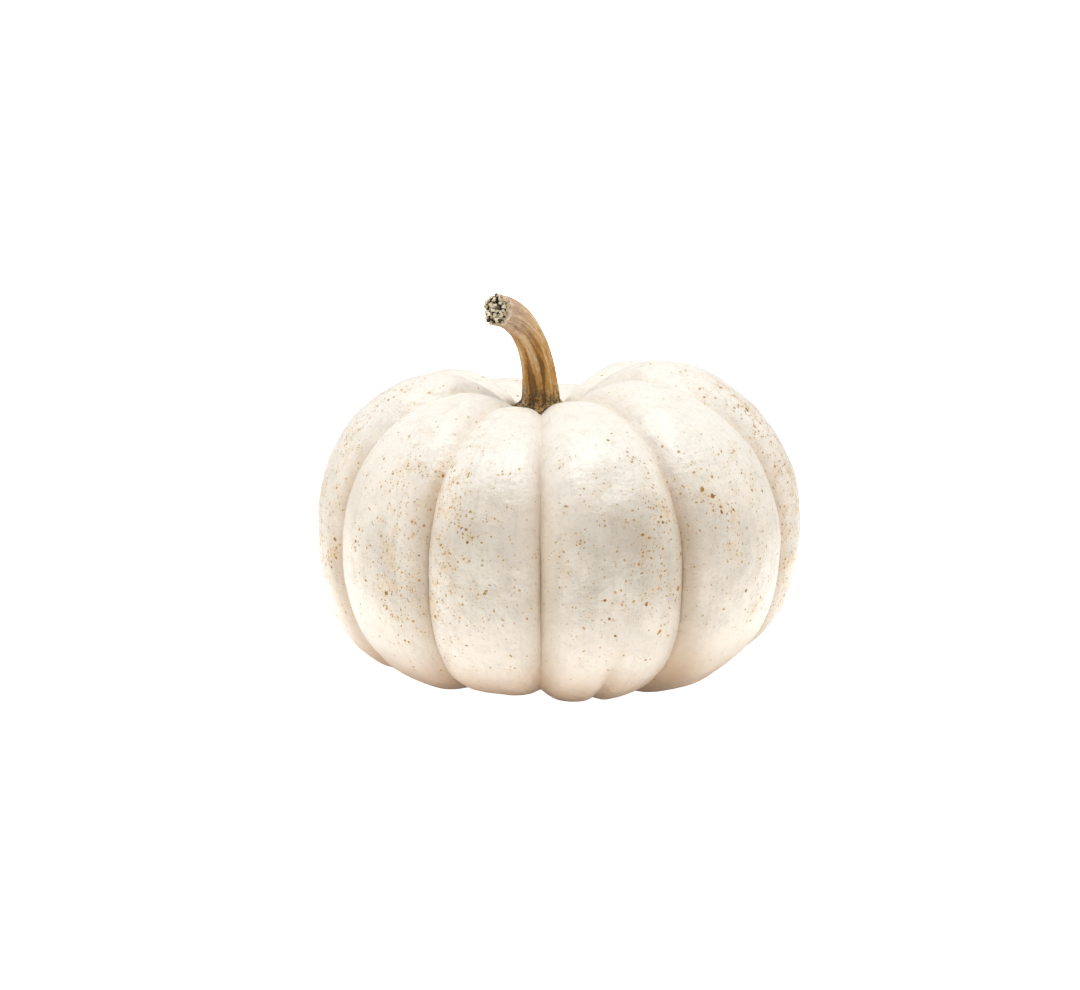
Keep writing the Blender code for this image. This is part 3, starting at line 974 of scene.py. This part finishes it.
# The cut end's crumbs
# Where the stalk was cut, its dried pith has broken into cream and brown crumbs with dark gaps between
# them. They are the stalk's own tissue and stay fast in its hollow end.

CRUMB_SEED = 7
CRUMB_NUMBERS = {
    "Crumb Size": 1.0 * MM,
    "Crumb Spacing": 0.70 * MM,
    "Crumb Lift": 0.9 * MM,
}
CRUMB_DENSITY = 9.0e6
CRUMB_FACES = 4
CRUMB_BLOCK = (0.8, 0.8, 0.8)
SMALLEST_CRUMB = (0.45, 0.45, 0.45)
LARGEST_CRUMB = (1.15, 1.05, 1.25)
CRUMB_GRAIN = 1700.0
CRUMB_TEAR = 1.3
CUT_REACH = 3.35 * MM
CUT_SINK = 0.25 * MM
CUT_CORNERS = 24


def cut_disc():
    """The round face that the crumbs sit on, across the stalk's cut end."""
    places, directions, side = stem_path(np.linspace(0.0, 1.0, STEM_RINGS))
    front = np.cross(side, directions[-1])
    middle = places[-1] - directions[-1] * CUT_SINK
    mesh = bpy.data.meshes.new("cut_disc")
    points = [
        middle + (side * math.cos(angle) + front * math.sin(angle)) * CUT_REACH
        for angle in np.arange(CUT_CORNERS) * math.tau / CUT_CORNERS
    ]
    mesh.from_pydata([tuple(point) for point in points], [], [tuple(range(CUT_CORNERS))])
    return mesh


def crumb_tree():
    """Scatters broken blocks over a face, each with a size, a turn, a lift and a tone of its own."""
    tree, given, number = geometry_tree("pith_crumbs", CRUMB_NUMBERS)

    def chance(low, high, seed):
        """A random vector for each crumb."""
        settings = {"data_type": "FLOAT_VECTOR"}
        feeds = {0: low, 1: high, "Seed": seed}
        return add_node(tree, "FunctionNodeRandomValue", settings, feeds).outputs[0]

    scatter = add_node(
        tree,
        "GeometryNodeDistributePointsOnFaces",
        {"distribute_method": "POISSON"},
        {"Mesh": given.outputs["Geometry"], "Density Max": CRUMB_DENSITY, "Seed": CRUMB_SEED},
    )
    feed(tree, scatter.inputs["Distance Min"], number["Crumb Spacing"])
    lift = scaled(tree, scatter.outputs["Normal"], number["Crumb Lift"])
    shift = chance((-0.5, 0, 0), (0.5, 1, 1), CRUMB_SEED + 4)
    rise = add_node(tree, "ShaderNodeSeparateXYZ", feeds={"Vector": shift}).outputs["X"]
    raised = add_node(
        tree,
        "GeometryNodeSetPosition",
        feeds={"Geometry": scatter.outputs["Points"], "Offset": scaled(tree, lift, rise)},
    )
    block = add_node(
        tree,
        "GeometryNodeMeshCube",
        feeds={
            "Size": CRUMB_BLOCK,
            "Vertices X": CRUMB_FACES,
            "Vertices Y": CRUMB_FACES,
            "Vertices Z": CRUMB_FACES,
        },
    )
    placed = add_node(
        tree,
        "GeometryNodeInstanceOnPoints",
        feeds={
            "Points": raised.outputs[0],
            "Instance": block.outputs["Mesh"],
            "Rotation": chance((0.0, 0.0, 0.0), (math.tau, math.tau, math.tau), CRUMB_SEED + 2),
        },
    )
    size = chance(SMALLEST_CRUMB, LARGEST_CRUMB, CRUMB_SEED + 1)
    feed(tree, placed.inputs["Scale"], scaled(tree, size, number["Crumb Size"]))
    shade = chance((0, 0, 0), (1, 1, 1), CRUMB_SEED + 3)
    tone = add_node(tree, "ShaderNodeSeparateXYZ", feeds={"Vector": shade}).outputs["X"]
    toned = add_node(
        tree,
        "GeometryNodeStoreNamedAttribute",
        {"data_type": "FLOAT", "domain": "INSTANCE"},
        {"Geometry": placed.outputs[0], "Name": "tone", "Value": tone},
    )
    real = add_node(tree, "GeometryNodeRealizeInstances", feeds={"Geometry": toned.outputs[0]})
    position = tree.nodes.new("GeometryNodeInputPosition").outputs[0]
    feeds = {"Vector": position, "Scale": CRUMB_GRAIN, "Detail": 3.0}
    rough = add_node(tree, "ShaderNodeTexNoise", feeds=feeds)
    centred = added(tree, rough.outputs["Color"], (-0.5, -0.5, -0.5))
    offset = scaled(tree, centred, number["Crumb Size"] * CRUMB_TEAR)
    feeds = {"Geometry": real.outputs[0], "Offset": offset}
    torn = add_node(tree, "GeometryNodeSetPosition", feeds=feeds)
    finish_tree(tree, given, torn.outputs[0])
    return tree


PITH_GRAIN = 1900.0
PITH_CREAM = (1.0, 0.92, 0.72, 1.0)
PITH_TAN = (0.62, 0.47, 0.26, 1.0)
PITH_DARK = (0.075, 0.050, 0.022, 1.0)


def pith_material():
    """Dry cream and tan pith with dark pits."""
    material, tree, surface = material_tree("dry_pith")
    place = add_node(tree, "ShaderNodeTexCoord").outputs["Object"]
    tone = carried(tree, "tone")
    grain = noise(tree, place, PITH_GRAIN, detail=3.0, roughness=0.65)
    colour = painted(tree, tone.ease(0.25, 0.75), PITH_TAN, PITH_CREAM)
    colour = painted(tree, grain.ease(0.5, 0.66) * 0.55, colour, PITH_TAN)
    colour = painted(tree, grain.ease(0.64, 0.74), colour, PITH_DARK)
    colour = painted(tree, tone.ease(0.16, 0.10), colour, PITH_DARK)
    feed(tree, surface.inputs["Base Color"], colour)
    feed(tree, surface.inputs["Roughness"], 0.75 + 0.2 * grain)
    embossed(tree, surface, grain, strength=0.7, distance=0.3 * MM)
    return material


crumbs = grown("stem_cut_crumbs", cut_disc(), crumb_tree(), pith_material(), CRUMB_NUMBERS)
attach(crumbs, "root")


# The studio
# A white table that runs back out of sight, lit from a wide soft box overhead and from white cards at
# both sides and in front, with the camera a little above the pumpkin's middle.

CAMERA_DISTANCE = 581.0 * MM
CAMERA_RISE = math.radians(13.0)
CAMERA_AIM = Vector((AXIS_X - 0.2 * MM, AXIS_Y, 39.5 * MM))

scene = bpy.context.scene
camera = bpy.data.objects.new("camera", bpy.data.cameras.new("camera"))
scene.collection.objects.link(camera)
camera.data.lens = 85.0
camera.data.sensor_width = 36.0
camera.data.clip_start = 10.0 * MM
toward_camera = Vector((0.0, -math.cos(CAMERA_RISE), math.sin(CAMERA_RISE)))
camera.location = CAMERA_AIM + CAMERA_DISTANCE * toward_camera
camera.rotation_euler = (math.pi / 2.0 - CAMERA_RISE, 0.0, 0.0)
scene.camera = camera


def soft_box(name, place, width, height, power):
    """A wide soft light that faces the middle of the pumpkin."""
    light = bpy.data.lights.new(name, "AREA")
    light.shape = "RECTANGLE"
    light.size = width
    light.size_y = height
    light.energy = power
    lamp = bpy.data.objects.new(name, light)
    lamp.location = place
    lamp.rotation_euler = (CAMERA_AIM - Vector(place)).to_track_quat("-Z", "Y").to_euler()
    scene.collection.objects.link(lamp)


soft_box("overhead_box", (0.02, -0.10, 0.62), width=0.42, height=0.34, power=2.7)
soft_box("left_card", (-0.60, 0.02, 0.20), width=0.45, height=0.40, power=0.85)
soft_box("right_card", (0.60, 0.04, 0.26), width=0.45, height=0.40, power=0.62)
soft_box("front_card", (-0.30, -0.66, 0.24), width=0.30, height=0.30, power=0.20)

TABLE_REACH = 9.0
# The table glows in a broad ring round the fruit, a painted light that stands in for light thrown back off
# a white table under strong lamps, and it is dim beneath the fruit as a painted shadow. To the camera, the
# table and the room are plain white, whatever light they give the fruit.
GLOW_FLOOR = 0.1
GLOW_STRENGTH = 1.04
GLOW_RISE = (0.038, 0.089)
GLOW_FADE = (0.17, 0.10)
FAR_GLOW = 0.35

table_mesh = bpy.data.meshes.new("table")
corners = [(-1, -1), (1, -1), (1, 1), (-1, 1)]
table_mesh.from_pydata([(x * TABLE_REACH, y * TABLE_REACH, 0.0) for x, y in corners], [], [(0, 1, 2, 3)])
table = bpy.data.objects.new("table", table_mesh)
scene.collection.objects.link(table)
table_paint, tree, surface = material_tree("white_table")
surface.inputs["Base Color"].default_value = (0.76, 0.76, 0.76, 1.0)
surface.inputs["Roughness"].default_value = 0.9
surface.inputs["Specular IOR Level"].default_value = 0.0
surface.inputs["Emission Color"].default_value = (1.0, 1.0, 1.0, 1.0)
seen = Field(tree, add_node(tree, "ShaderNodeLightPath").outputs["Is Camera Ray"])
place = add_node(tree, "ShaderNodeTexCoord").outputs["Object"]
length = add_node(tree, "ShaderNodeVectorMath", {"operation": "LENGTH"}, {0: place})
away = Field(tree, length.outputs["Value"])
near = FAR_GLOW + (1.0 - FAR_GLOW) * away.ease(*GLOW_FADE)
glow = GLOW_FLOOR + GLOW_STRENGTH * away.ease(*GLOW_RISE) * near
feed(tree, surface.inputs["Emission Strength"], glow + seen)
table_mesh.materials.append(table_paint)

# The room gives the fruit light from behind, and hardly any from in front.
ROOM_FLOOR = 0.04
ROOM_BEHIND = 0.60
ROOM_TURN = (-0.7, 0.2)

world = bpy.data.worlds.new("white_room")
world.use_nodes = True
scene.world = world
room = world.node_tree.nodes["Background"]
room.inputs["Color"].default_value = (1.0, 1.0, 1.0, 1.0)
tree = world.node_tree
seen = Field(tree, add_node(tree, "ShaderNodeLightPath").outputs["Is Camera Ray"])
toward = add_node(tree, "ShaderNodeTexCoord").outputs["Generated"]
toward = add_node(tree, "ShaderNodeSeparateXYZ", feeds={"Vector": toward})
behind = Field(tree, toward.outputs["Y"]).ease(*ROOM_TURN)
feed(tree, room.inputs["Strength"], ROOM_FLOOR + ROOM_BEHIND * behind + seen)

scene.view_settings.view_transform = "Standard"
scene.view_settings.look = "None"
